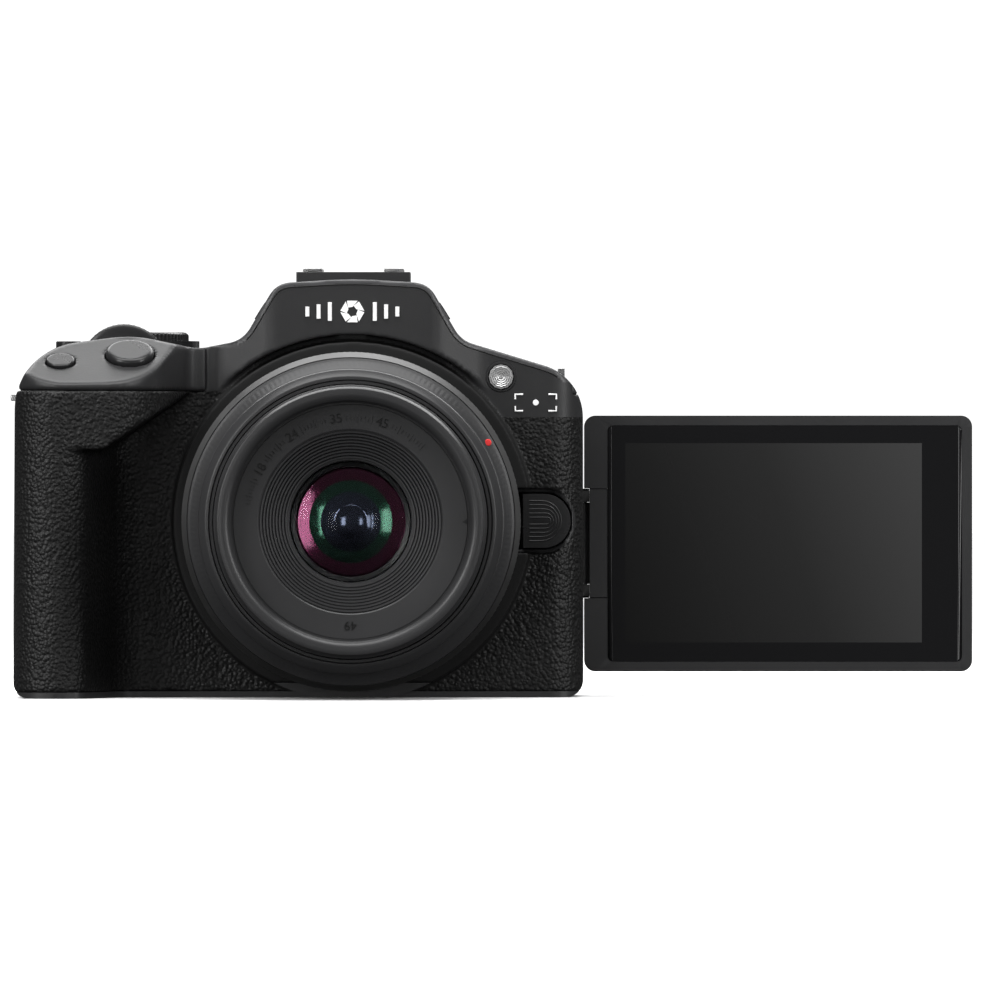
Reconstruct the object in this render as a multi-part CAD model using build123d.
from build123d import *

import os
from math import atan2, degrees

# Mirrorless interchangeable-lens camera with a side-hinged screen, opened out and facing forwards.
# Millimetres. +X is the viewer's right of the front, +Y points to the back, +Z is up.
# The origin is the mouth of the tripod socket, straight under the optical axis.

# --- Driving dimensions --------------------------------------------------------------------------
BODY_LEFT = -69.0
BODY_RIGHT = 47.3
FRONT = -17.0
BACK = 18.5
GRIP_FRONT = -39.8
HUMP_FRONT = -21.5
WALL = 2.2
FLOOR = 3.0
SKIN = 0.9
LEATHER_TOP_LEFT = 62.6
LEATHER_TOP_RIGHT = 57.4
LEATHER_BOTTOM = 1.2
TOP_SEAM_Y = -12.0
COVER_SEAM_Y = -8.0
REAR_COVER_TOP = 62.0

LENS_Z = 36.0
COLLAR_RADIUS = 36.7
BROW_RADIUS = 38.2
THROAT_RADIUS = 27.0
FLANGE_Y = -23.0

RECESS_LEFT = -33.5
RECESS_LOW = 4.5
RECESS_HIGH = 58.2
RECESS_FLOOR = 11.7
RECESS_WALL = 1.7
SWING_X = 47.4
HINGE_Y = 15.25
TILT_Z = 31.4
SCREEN_LEFT = 47.6
SCREEN_RIGHT = 127.8
SCREEN_LOW = 4.9
SCREEN_HIGH = 57.8
SCREEN_FRONT = 12.0
NOTCH_RIGHT = 52.4
KNUCKLE_RADIUS = 1.3
ARM_LEFT = SWING_X + KNUCKLE_RADIUS + 0.05
NOTCH_RADIUS = 11.8
ARM_RADIUS = 11.6

SLOPE_LOW_Z = 63.6
SLOPE_HIGH_Z = 73.6
SLOPE_BACK_Y = -21.0
SLOPE_RUN = SLOPE_BACK_Y - GRIP_FRONT
SLOPE_ANGLE = degrees(atan2(SLOPE_HIGH_Z - SLOPE_LOW_Z, SLOPE_RUN))

DIAL_X = -46.8
DIAL_Z = 67.4
DIAL_RADIUS = 9.0
MODE_X = -42.5
MODE_Y = 6.0
MODE_RADIUS = 8.5

FIT = 0.05
GAP = 0.2

os.makedirs("parts", exist_ok=True)


# --- Shape helpers -------------------------------------------------------------------------------
def outline(corners):
    """Closed outline from (x, y, radius) corners, each rounded with its own radius."""
    shape = Polygon(*[(x, y) for x, y, _ in corners], align=None)
    for x, y, radius in corners:
        if radius:
            corner = shape.vertices().sort_by_distance((x, y, 0))[0]
            shape = fillet(corner, radius)
    return shape


def block(x0, x1, y0, y1, z0, z1):
    return Pos((x0 + x1) / 2, (y0 + y1) / 2, (z0 + z1) / 2) * Box(x1 - x0, y1 - y0, z1 - z0)


def slab(sketch, front, back):
    """Front-view sketch (X, Z) made solid between two Y planes."""
    return extrude(Plane.XZ.offset(-back) * sketch, back - front, dir=(0, -1, 0))


def column(sketch, low, high):
    """Plan-view sketch (X, Y) made solid between two heights."""
    return extrude(Pos(0, 0, low) * sketch, high - low, dir=(0, 0, 1))


def beam(sketch, left, right):
    """Side-view sketch (Y, Z) made solid between two X planes."""
    return extrude(Plane.YZ.offset(left) * sketch, right - left, dir=(1, 0, 0))


def tube_y(outer, inner, front, back, x=0.0, z=LENS_Z):
    ring = Circle(outer)
    if inner:
        ring -= Circle(inner)
    return slab(Pos(x, z) * ring, front, back)


def tube_z(outer, inner, low, high, x, y):
    ring = Circle(outer)
    if inner:
        ring -= Circle(inner)
    return column(Pos(x, y) * ring, low, high)


def turned(points):
    """Lens part turned about the optical axis from (radius, y) points."""
    return Pos(0, 0, LENS_Z) * revolve(Polygon(*points, align=None), Axis.Y)


def rounded(x0, x1, z0, z1, radius):
    return Pos((x0 + x1) / 2, (z0 + z1) / 2) * RectangleRounded(x1 - x0, z1 - z0, radius)


def save(name, shape):
    export_step(shape, f"parts/{name}.step")


# --- Outer form of the body ----------------------------------------------------------------------
SILHOUETTE = [
    (BODY_LEFT, 0, 3.2),
    (BODY_LEFT + 0.4, 71.0, 14),
    (-45, 74.1, 25),
    (-31.8, 71.3, 10),
    (-22.4, 73.1, 6),
    (-15.5, 84.7, 5),
    (0, 85.6, 90),
    (15.5, 84.7, 5),
    (22.2, 73.1, 6),
    (BODY_RIGHT - 0.1, 65.5, 11),
    (BODY_RIGHT, 0, 3.5),
]
TRUNK_PLAN = [
    (BODY_LEFT, BACK, 6),
    (BODY_RIGHT, BACK, 2.2),
    (BODY_RIGHT, FRONT, 7),
    (BODY_LEFT, FRONT, 2),
]
GRIP_PLAN = [
    (BODY_LEFT, 0, 0),
    (-27, 0, 0),
    (-27, FRONT, 0),
    (-47.5, FRONT - 1.2, 7),
    (-54.5, GRIP_FRONT + 1.8, 4.5),
    (-59.0, GRIP_FRONT, 6),
    (BODY_LEFT, GRIP_FRONT, 8.5),
]
DECK_PLAN = [
    (BODY_LEFT, 0, 0),
    (-27, 0, 0),
    (-27, FRONT, 0),
    (-33.5, FRONT - 1.0, 3),
    (-42.0, GRIP_FRONT + 1.0, 12),
    (BODY_LEFT, GRIP_FRONT, 11),
]
HUMP_PLAN = [
    (-33.0, 0, 0),
    (40.0, 0, 0),
    (40.0, FRONT, 0),
    (27.0, FRONT, 8),
    (17.0, HUMP_FRONT, 8),
    (-17.0, HUMP_FRONT, 8),
    (-27.0, FRONT, 8),
    (-33.0, FRONT, 0),
]


def above_underside(lift):
    """Everything above the slanted underside of the grip deck, raised by lift."""
    low = 50.5 + lift
    high = LEATHER_TOP_LEFT + lift
    side = Polygon((-80, low), (-50.5, low), (-33, high), (-20, high), (-20, 95), (-80, 95), align=None)
    return slab(side, -60, 0)


def slope_wedge(sink):
    """Everything above the sloping top of the grip, lowered by sink."""
    low = SLOPE_LOW_Z - sink
    high = SLOPE_HIGH_Z - sink
    run_out = (high - low) / SLOPE_RUN
    side = Polygon(
        (GRIP_FRONT - 10, low - 10 * run_out),
        (SLOPE_BACK_Y, high),
        (SLOPE_BACK_Y, 110),
        (GRIP_FRONT - 10, 110),
        align=None,
    )
    return beam(side, -90, -27)


def body_form(inset):
    """Body with the grip, its deck and the viewfinder hump, pulled in by inset all round."""
    front_view = outline(SILHOUETTE)
    trunk_plan = outline(TRUNK_PLAN)
    grip_plan = outline(GRIP_PLAN)
    deck_plan = outline(DECK_PLAN)
    hump_plan = outline(HUMP_PLAN)
    if inset:
        front_view = offset(front_view, -inset)
        trunk_plan = offset(trunk_plan, -inset)
        grip_plan = offset(grip_plan, -inset)
        deck_plan = offset(deck_plan, -inset)
        hump_plan = offset(hump_plan, -inset)
    trunk = slab(front_view, FRONT + inset, BACK - inset) & column(trunk_plan, -5, 95)
    tall = slab(front_view, GRIP_FRONT, 0)
    grip = tall & column(grip_plan, -5, LEATHER_TOP_LEFT)
    deck = tall & column(deck_plan, 45, 95) & above_underside(1.2 * inset)
    deck -= slope_wedge(inset)
    hump = tall & column(hump_plan, 40, 95)
    hump -= tube_y(BROW_RADIUS, 0, -60, FRONT + inset)
    return trunk + grip + deck + hump


outer = body_form(0)
collar = tube_y(COLLAR_RADIUS, 0, FLANGE_Y + 1.5, FRONT + 1) & block(-60, 60, -60, 60, 0, 90)
inner = body_form(WALL) & block(-90, 90, -60, 60, FLOOR, 95)
recess = block(RECESS_LEFT, 60, RECESS_FLOOR, 30, RECESS_LOW, RECESS_HIGH)
recess_back = block(
    RECESS_LEFT - 2, 60, RECESS_FLOOR - RECESS_WALL, 30, RECESS_LOW - 2, RECESS_HIGH + 2
)
shell = (outer + collar) - (inner - recess_back) - recess
shell -= tube_y(32.9, 0, -60, FRONT + 4)

# --- Where the covers meet -----------------------------------------------------------------------
deck_region = block(-90, -30, -60, 60, LEATHER_TOP_LEFT, 95)
hump_seam = block(-21.5, 21.5, HUMP_FRONT + 2.9, 60, 76.5, 95)
top_region = block(-90, 90, FRONT + 2, 60, REAR_COVER_TOP, 95) + deck_region + hump_seam
base_region = block(-90, 90, -60, 60, -1, FLOOR)
front_region = block(-90, 90, -60, COVER_SEAM_Y, FLOOR, 95) - top_region
rear_region = block(-90, 90, COVER_SEAM_Y, 60, FLOOR, 95) - top_region

# --- Leather skins -------------------------------------------------------------------------------
front_view = outline(SILHOUETTE)
skin_core = slab(front_view, FRONT + SKIN, BACK) & column(offset(outline(TRUNK_PLAN), -SKIN), -5, 95)
for plan, low, high in ((GRIP_PLAN, -5, LEATHER_TOP_LEFT), (DECK_PLAN, 45, 95)):
    part_core = slab(front_view, GRIP_FRONT, 0) & column(offset(outline(plan), -SKIN), low, high)
    if plan is DECK_PLAN:
        part_core = part_core & above_underside(1.2 * SKIN)
    skin_core += part_core
skin = outer - skin_core
grip_skin_region = block(-90, -33, -60, -2, LEATHER_BOTTOM, LEATHER_TOP_LEFT)
front_skin_region = block(-33, 0, -60, COVER_SEAM_Y, LEATHER_BOTTOM, LEATHER_TOP_LEFT)
front_skin_region += block(0, 60, -60, COVER_SEAM_Y, LEATHER_BOTTOM, LEATHER_TOP_RIGHT)
release_view = rounded(26.0, 44.6, 30.6, 41.6, 5.4)
moat_view = rounded(26.0, 45.7, 29.5, 42.7, 6.5)
grip_rubber = skin & grip_skin_region
front_leather = (skin & front_skin_region) - tube_y(COLLAR_RADIUS, 0, -60, FRONT + 4)
front_leather -= slab(moat_view, -60, FRONT + 4)
shell -= grip_rubber
shell -= front_leather

# --- Lens release button with its lock pin -------------------------------------------------------
PIN_X = 29.6
shell -= slab(moat_view, -60, FRONT + 1) - tube_y(32.9, 0, -60, 0)
shell -= slab(offset(release_view, 0.3), -60, FRONT + 4)
release_button = (slab(release_view, -20.6, -16.2) & block(34.9, 60, -60, 60, 0, 90))
release_button += block(36.5, 42, -16.4, -14, 33, 39)
release_button += block(28.2, 42, -14, -12.8, 34.4, 37.6)
release_button += tube_y(1.0, 0, -23.9, -13, PIN_X)

# --- Top controls: wells first, then the controls ------------------------------------------------
def on_slope(x, z):
    """Place on the sloping grip top, with local Z square to the slope."""
    y = GRIP_FRONT + (z - SLOPE_LOW_Z) * SLOPE_RUN / (SLOPE_HIGH_Z - SLOPE_LOW_Z)
    return Pos(x, y, z) * Rot(SLOPE_ANGLE, 0, 0)


def round_key(radius, low, high, edge):
    """Round key along local Z with a rounded top edge."""
    key = Pos(0, 0, (low + high) / 2) * Cylinder(radius, high - low)
    top = key.edges().sort_by(Axis.Z)[-1]
    return fillet(top, edge)


def plug(radius, low, high):
    return Pos(0, 0, (low + high) / 2) * Cylinder(radius, high - low)


shutter_place = on_slope(-45.3, 70.0)
iso_place = on_slope(-59.4, 68.65)
movie_place = Pos(-58.5, -4.0, 72.3)
bosses = [
    shutter_place * plug(5.9, -7.0, -0.5) & block(-60, -30, -60, 0, LEATHER_TOP_LEFT, 80),
    iso_place * plug(4.0, -4.6, -0.5),
    movie_place * plug(4.0, -6.0, -2.0),
    tube_z(12.4, 0, 67.5, 70.6, MODE_X, MODE_Y),
    tube_z(12.4, 0, 67.5, 71.9, MODE_X, MODE_Y) & block(-60, -34.5, -20, 16.4, 60, 80),
    block(DIAL_X - 2.5, DIAL_X + 2.5, -20, -18, 64.5, 72.5),
    block(DIAL_X - 2.5, DIAL_X + 2.5, -11, -9, 64.5, 72.5),
]
for boss in bosses:
    shell += boss
shutter_button = shutter_place * round_key(4.9, -4.0, 1.2, 0.9)
iso_button = iso_place * round_key(2.85, -2.6, 0.5, 0.3)
movie_button = movie_place * round_key(2.6, -4.0, 0.7, 0.3)
main_dial = tube_y(DIAL_RADIUS, 0, -17.5, -11.5, DIAL_X, DIAL_Z)
main_dial += tube_y(1.2, 0, -19.6, -9.4, DIAL_X, DIAL_Z)
mode_dial = tube_z(MODE_RADIUS, 0, 71.4, 74.9, MODE_X, MODE_Y)
mode_dial += tube_z(2.0, 0, 68.2, 72, MODE_X, MODE_Y)
wells = [
    shutter_place * plug(4.9 + GAP, -5.3, 6),
    iso_place * plug(2.85 + GAP, -3.6, 6),
    movie_place * plug(2.6 + GAP, -5.0, 6),
    tube_y(DIAL_RADIUS + 0.4, 0, -17.9, -11.1, DIAL_X, DIAL_Z),
    tube_y(1.2 + FIT, 0, -19.8, -9.2, DIAL_X, DIAL_Z),
    tube_z(11.0, 0, 71.1, 80, MODE_X, MODE_Y),
    tube_z(2.0 + FIT, 0, 68.0, 72, MODE_X, MODE_Y),
]
for well in wells:
    shell -= well
LEVER_INNER = MODE_RADIUS + 0.3
LEVER_OUTER = 10.7
power_lever = tube_z(LEVER_OUTER, LEVER_INNER, 71.3, 73.1, MODE_X, MODE_Y)
lever_tab = block(LEVER_INNER, LEVER_OUTER, -1.6, 1.6, 72.5, 75.2)
lever_tab += block(LEVER_INNER, 13.0, -1.6, 1.6, 74.2, 75.2)
power_lever += Pos(MODE_X, MODE_Y, 0) * Rot(0, 0, 125) * (lever_tab - tube_z(LEVER_INNER, 0, 70, 80, 0, 0))

# --- Pop-up flash in the hump --------------------------------------------------------------------
FLASH_Y = -4.8
FLASH_Z = 83.2
flash_tub = block(-18.8, 18.8, -20.2, -0.9, 74.8, 95) & outer
shell += flash_tub
shell -= block(-17.3, 17.3, -18.6, -2.4, 76.5, 95)
flash_side = Polygon(
    (-17.9, 79.5),
    (-3.4, 79.5),
    (-3.4, 84.0),
    (-4.9, 85.5),
    (-4.9, 95),
    (-18.4, 95),
    (-18.4, FLASH_Z),
    align=None,
)
flash_head = outer & beam(flash_side, -16.9, 16.9)
for side in (-1, 1):
    flash_head -= block(side * 10.15 - 1.05, side * 10.15 + 1.05, -6.8, 0, 70, 95)
    lug = block(side * 10.15 - 0.85, side * 10.15 + 0.85, -5.9, -1.5, 82.2, 84.2)
    shell += lug
flash_axle = Pos(0, FLASH_Y, FLASH_Z) * Rot(0, 90, 0)
flash_head -= flash_axle * Cylinder(0.7 + FIT, 40)
shell -= flash_axle * Cylinder(0.7, 22.0)
flash_window = block(-11, 11, -16.0, -8.5, 78.5, 79.5)

# --- Hot shoe ------------------------------------------------------------------------------------
shoe_base = block(-11.75, 11.75, -1.0, 17.5, 83.8, 87.3)
shell -= shoe_base
shoe_base -= block(-10.4, 10.4, 0.4, 30, 85.0, 90)
shoe_rails = block(-10.4, 10.4, 0.4, 17.5, 85.0, 88.0)
shoe_rails -= block(-9.35, 9.35, 0, 30, 85.4, 87.45)
shoe_rails -= block(-6.3, 6.3, 0, 30, 87, 89)
shoe_contacts = [tube_z(1.3, 0, 85.4, 85.6, 0, 10)]
for x, y in ((-4.6, 5.0), (0.0, 5.0), (4.6, 5.0), (4.6, 8.6)):
    shoe_contacts.append(tube_z(0.8, 0, 85.4, 85.6, x, y))

# --- Back: viewfinder, buttons, thumb rest -------------------------------------------------------
window_view = rounded(-10, 10, 67.5, 79, 2)
shell -= slab(window_view, 10, 30)
viewfinder = block(-11, 11, 1.0, 16.2, 66.5, 80.0) - slab(rounded(-8, 8, 69, 77.5, 1), 6, 30)
eyepiece_lens = slab(rounded(-9.8, 9.8, 67.7, 78.8, 1.8), 16.2, 19.2)
eyecup = slab(rounded(-15, 15, 65.5, 81.2, 4), BACK, 29.0)
eyecup = fillet(eyecup.edges().group_by(Axis.Y)[-1], 2.0) - slab(window_view, 10, 40)

KEY_BACK = 19.1
KEY_ROOT = 15.2
rear_keys = {
    "lock_button": (-46.5, 57.2, 2.4),
    "focus_point_button": (-56.5, 56.2, 2.4),
    "info_button": (-39.6, 45.0, 2.7),
    "menu_button": (-59.5, 10.5, 2.7),
    "playback_button": (-43.5, 10.5, 2.7),
}
PAD_X = -51.0
PAD_Z = 27.5
keys = {}
for name, (x, z, radius) in rear_keys.items():
    keys[name] = tube_y(radius, 0, KEY_ROOT, KEY_BACK, x, z)
    shell -= tube_y(radius + GAP, 0, 10, 30, x, z)
shell -= tube_y(9.5 + GAP, 0, 10, 30, PAD_X, PAD_Z)
keys["cross_pad"] = tube_y(9.5, 4.4, KEY_ROOT, KEY_BACK + 0.2, PAD_X, PAD_Z)
keys["set_button"] = tube_y(4.2, 0, KEY_ROOT, KEY_BACK + 0.4, PAD_X, PAD_Z)
thumb_rubber = slab(rounded(-62.5, -43.5, 40.5, 51.5, 4), BACK, 20.1)
thumb_rubber = fillet(thumb_rubber.edges().group_by(Axis.Y)[-1], 1.0)

# --- Side covers, strap lugs ---------------------------------------------------------------------
FLAP_THICK = 1.2
terminal_y = 11.0
terminal_x = -68.4
terminal_cover = block(-69.6, -67.8, 0.5, terminal_y, 16.2, 43.8)
terminal_cover += tube_z(FLAP_THICK / 2, 0, 16.2, 43.8, terminal_x, terminal_y)
terminal_cover = terminal_cover & outer
shell -= block(-72, -67.6, 0.3, terminal_y + 0.75, 16, 44)
mic_y = -7.0
mic_x = 46.65
mic_cover = block(46.05, 47.25, mic_y, 0.9, 40, 52)
mic_cover += tube_z(FLAP_THICK / 2, 0, 40, 52, mic_x, mic_y)
shell -= block(45.85, 60, mic_y - 0.75, 1.1, 39.8, 52.2)
strap_lug_left = block(-70.5, -66.5, -1.5, 10.5, 60.8, 62.1)
strap_lug_right = block(42.1, 43.5, -5, 7, 62.0, 67.5)
shell -= strap_lug_left
shell -= strap_lug_right
strap_lug_left -= block(-70.0, -69.0, 0, 9, 60, 63)
strap_lug_right -= block(42, 44, -3.5, 5.5, 66.0, 67.0)

# --- Screen hinge --------------------------------------------------------------------------------
tilt_axle = Pos(0, HINGE_Y, TILT_Z) * Rot(0, 90, 0)


def along_tilt(radius, left, right):
    """Round bar on the screen's tilting axis."""
    return Pos((left + right) / 2, 0, 0) * tilt_axle * Cylinder(radius, right - left)


hinge_bracket = block(40.0, 47.2, 10.2, RECESS_FLOOR, TILT_Z - 11.2, TILT_Z + 11.2)
shell -= block(40.0, 60, 10.2, 30, TILT_Z - 11.2, TILT_Z + 11.2)
for side in (-1, 1):
    low, high = sorted((TILT_Z + side * 8.5, TILT_Z + side * 10.9))
    hinge_bracket += block(SWING_X - KNUCKLE_RADIUS, SWING_X + KNUCKLE_RADIUS, 11.35, HINGE_Y, low, high)
    low, high = sorted((TILT_Z + side * 8.5, TILT_Z + side * 11.3))
    hinge_bracket += tube_z(KNUCKLE_RADIUS, 0, low, high, SWING_X, HINGE_Y)
swing_pin = tube_z(0.8, 0, TILT_Z - 10.9, TILT_Z + 10.9, SWING_X, HINGE_Y)
hinge_bracket -= swing_pin
hinge_arm = tube_z(KNUCKLE_RADIUS, 0, TILT_Z - 8.45, TILT_Z + 8.45, SWING_X, HINGE_Y)
hinge_arm += block(SWING_X, 49.2, 14.3, 16.2, TILT_Z - 8.45, TILT_Z + 8.45)
hinge_arm -= tube_z(0.8 + FIT, 0, 10, 60, SWING_X, HINGE_Y)
arm_ear = block(ARM_LEFT, NOTCH_RIGHT - FIT, 12.05, 18.45, TILT_Z - 12, TILT_Z + 12)
hinge_arm += arm_ear & along_tilt(ARM_RADIUS, ARM_LEFT, NOTCH_RIGHT - FIT)
hinge_arm += along_tilt(1.5, NOTCH_RIGHT - 0.4, 57.0)

# --- Screen --------------------------------------------------------------------------------------
screen_view = rounded(SCREEN_LEFT, SCREEN_RIGHT, SCREEN_LOW, SCREEN_HIGH, 2.3)
notch = along_tilt(NOTCH_RADIUS, 40, NOTCH_RIGHT)
BEZEL_BACK = 13.2
GLASS_BACK = 12.75
screen_bezel = slab(screen_view, SCREEN_FRONT, BEZEL_BACK) - notch
screen_bezel -= slab(rounded(52.4, 125.7, 6.9, 55.8, 1.2), 0, GLASS_BACK)
screen_bezel -= slab(rounded(54.9, 118.6, 9.7, 53.3, 0.5), 0, 30)
screen_glass = slab(rounded(52.6, 125.6, 7.0, 55.7, 1.0), SCREEN_FRONT + 0.05, GLASS_BACK)
lcd_panel = slab(rounded(55.0, 118.5, 9.8, 53.2, 0.4), GLASS_BACK, 13.6)
screen_shell = slab(screen_view, BEZEL_BACK, BACK)
screen_shell = fillet(screen_shell.edges().group_by(Axis.Y)[-1], 1.4) - notch
screen_shell -= block(54.6, 119, 10, 13.7, 9.5, 53.5)
screen_shell -= block(60, 118, 10, 17.0, 12, 51)
screen_shell -= along_tilt(1.5 + FIT, NOTCH_RIGHT - 0.8, 57.4)

# --- Base: tripod socket, screws, battery door ---------------------------------------------------
SOCKET_RADIUS = 3.175
socket_body = tube_z(6.0, 0, 0, 7.0, 0, 0)
shell -= socket_body
tripod_socket = socket_body - tube_z(SOCKET_RADIUS, 0, -1, 5.5, 0, 0)
base_screws = []
for x, y in ((-36, -10), (-36, 14), (-20, 14), (16, 14), (42, 12), (40, -11)):
    screw = tube_z(2.0, 0, 0.2, 1.2, x, y) + tube_z(0.8, 0, 1.2, FLOOR, x, y)
    shell -= screw + tube_z(2.0, 0, -1, 0.3, x, y)
    base_screws.append(screw)
DOOR_X = -48.9
DOOR_Z = 1.2
DOOR_FRONT = -18.6
DOOR_BACK = 13.8
door_axle = Pos(DOOR_X, 0, DOOR_Z) * Rot(90, 0, 0)
door_middle = Pos(0, (DOOR_FRONT + DOOR_BACK) / 2, 0)
battery_door = block(-66.4, DOOR_X, DOOR_FRONT, DOOR_BACK, 0.1, 1.9)
battery_door += door_middle * door_axle * Cylinder(1.1, DOOR_BACK - DOOR_FRONT)
battery_door -= door_middle * door_axle * Cylinder(0.5 + FIT, 60)
shell -= block(-66.6, DOOR_X + 1.3, DOOR_FRONT - GAP, DOOR_BACK + GAP, -1, FLOOR + 1)
door_pin = door_middle * door_axle * Cylinder(0.5, DOOR_BACK - DOOR_FRONT + 2)
shell -= door_pin
hinge_pins = [swing_pin, door_pin, flash_axle * Cylinder(0.7, 22.0)]

# --- Inside --------------------------------------------------------------------------------------
chassis_frame = block(-30, 34, -13.5, -11, 4, 66) - tube_y(28.0, 0, -60, 60)
chassis_frame += tube_y(32.6, 28.0, -19.5, -13.0) & block(-60, 60, -60, 60, 3.6, 90)
chassis_frame += block(-12, 12, -12.5, 7, FLOOR, 5)
chassis_frame -= socket_body
chassis_frame -= block(26, 40, -15, -9, 33.4, 38.6)
chassis_frame -= tube_y(1.2, 0, -60, 0, PIN_X)
mount_ring = tube_y(32.8, THROAT_RADIUS, FLANGE_Y, -19.5) - tube_y(1.1, 0, -60, 0, PIN_X)
mount_contacts = block(-8, 8, -18.9, -14, 8, 12.3) & tube_y(28.0, 0, -30, 0)
shutter_unit = block(-26, 26, -10.8, -6.2, 16, 58) - block(-12.6, 12.6, -20, 0, 27.4, 44.6)
image_sensor = block(-14, 14, -3.0, -1.0, 26, 46) + block(-17, 17, -1.0, 0.6, 22, 50)
main_board = block(-29, 43, 3.4, 4.8, 7.5, 59)
battery = block(-65.5, -51.5, -18.4, 13.8, 5, 54.4)
battery_box = block(-51.4, -50.4, -13, 13, 4, 55.6) + block(-65.5, -50.4, -13, 13, 54.6, 55.6)
memory_card = block(-49.4, -47.3, -11, 13, 9, 41)
shell -= tube_y(2.6, 0, -60, -14, 30.4, 65.6)
af_lamp = tube_y(2.55, 0, -17.5, -14.8, 30.4, 65.6)

# --- Lens ----------------------------------------------------------------------------------------
lens_mount_plate = turned(
    [
        (20.0, -24.4),
        (31.5, -24.4),
        (31.5, FLANGE_Y),
        (26.7, FLANGE_Y),
        (26.7, -19.0),
        (24.0, -19.0),
        (24.0, -22.5),
        (20.0, -22.5),
    ]
)
lens_mount_plate -= tube_y(1.1, 0, -60, 0, PIN_X)
lens_barrel = turned(
    [
        (13.0, -24.4),
        (34.4, -24.4),
        (34.4, -32.7),
        (28.6, -32.7),
        (28.6, -51.9),
        (30.6, -51.9),
        (30.6, -53.0),
        (28.6, -53.0),
        (28.6, -61.2),
        (27.7, -61.2),
        (27.7, -28.4),
        (13.0, -28.4),
    ]
)
zoom_ring = turned([(28.7, -33), (34.4, -33), (34.4, -48.6), (33, -50), (30.9, -51.6), (28.7, -51.6)])
control_ring = turned([(28.7, -53.3), (30.8, -53.3), (30.8, -59.6), (29.3, -61.3), (28.7, -61.3)])
FILTER_RADIUS = 24.5
GLASS_RADIUS = 12.3
GROOVES = 8
cone = [(GLASS_RADIUS, -59.6)]
for step in range(GROOVES):
    radius = 12.8 + step * 0.7
    depth = -59.9 - step * 0.36
    cone += [(radius, depth), (radius + 0.45, depth - 0.36)]
inner_barrel = turned(
    [(GLASS_RADIUS, -54.5)]
    + cone
    + [
        (18.5, -62.8),
        (FILTER_RADIUS, -63.3),
        (FILTER_RADIUS, -66.9),
        (25.3, -67.3),
        (26.6, -67.3),
        (27.6, -66.0),
        (27.6, -31.0),
        (26.4, -31.0),
        (26.4, -54.5),
    ]
)
front_element = tube_y(GLASS_RADIUS, 0, -60.2, -54.5) & (Pos(0, -38.2, LENS_Z) * Sphere(22.0))
rear_element = tube_y(13.0, 0, -28.4, -24.4)

# --- Split the shell into its covers and write every piece ---------------------------------------
front_cover = shell & front_region
top_cover = shell & top_region
rear_cover = shell & rear_region
bottom_cover = shell & base_region

pieces = {
    "front_cover": front_cover,
    "top_cover": top_cover,
    "rear_cover": rear_cover,
    "bottom_cover": bottom_cover,
    "grip_rubber": grip_rubber,
    "front_leather": front_leather,
    "thumb_rubber": thumb_rubber,
    "chassis_frame": chassis_frame,
    "mount_ring": mount_ring,
    "mount_contacts": mount_contacts,
    "shutter_unit": shutter_unit,
    "image_sensor": image_sensor,
    "main_board": main_board,
    "battery": battery,
    "battery_box": battery_box,
    "memory_card": memory_card,
    "viewfinder": viewfinder,
    "eyepiece_lens": eyepiece_lens,
    "eyecup": eyecup,
    "hot_shoe_base": shoe_base,
    "hot_shoe_rails": shoe_rails,
    "hot_shoe_contacts": Compound(shoe_contacts),
    "af_lamp": af_lamp,
    "strap_lug_left": strap_lug_left,
    "strap_lug_right": strap_lug_right,
    "tripod_socket": tripod_socket,
    "base_screws": Compound(base_screws),
    "hinge_bracket": hinge_bracket,
    "hinge_pins": Compound(hinge_pins),
    "hinge_arm": hinge_arm,
    "screen_shell": screen_shell,
    "screen_bezel": screen_bezel,
    "screen_glass": screen_glass,
    "lcd_panel": lcd_panel,
    "shutter_button": shutter_button,
    "iso_button": iso_button,
    "movie_button": movie_button,
    "main_dial": main_dial,
    "mode_dial": mode_dial,
    "power_lever": power_lever,
    "flash_head": flash_head,
    "flash_window": flash_window,
    "release_button": release_button,
    "battery_door": battery_door,
    "terminal_cover": terminal_cover,
    "mic_cover": mic_cover,
    "lens_mount_plate": lens_mount_plate,
    "lens_barrel": lens_barrel,
    "zoom_ring": zoom_ring,
    "control_ring": control_ring,
    "inner_barrel": inner_barrel,
    "front_element": front_element,
    "rear_element": rear_element,
    **keys,
}
for name, shape in pieces.items():
    save(name, shape)
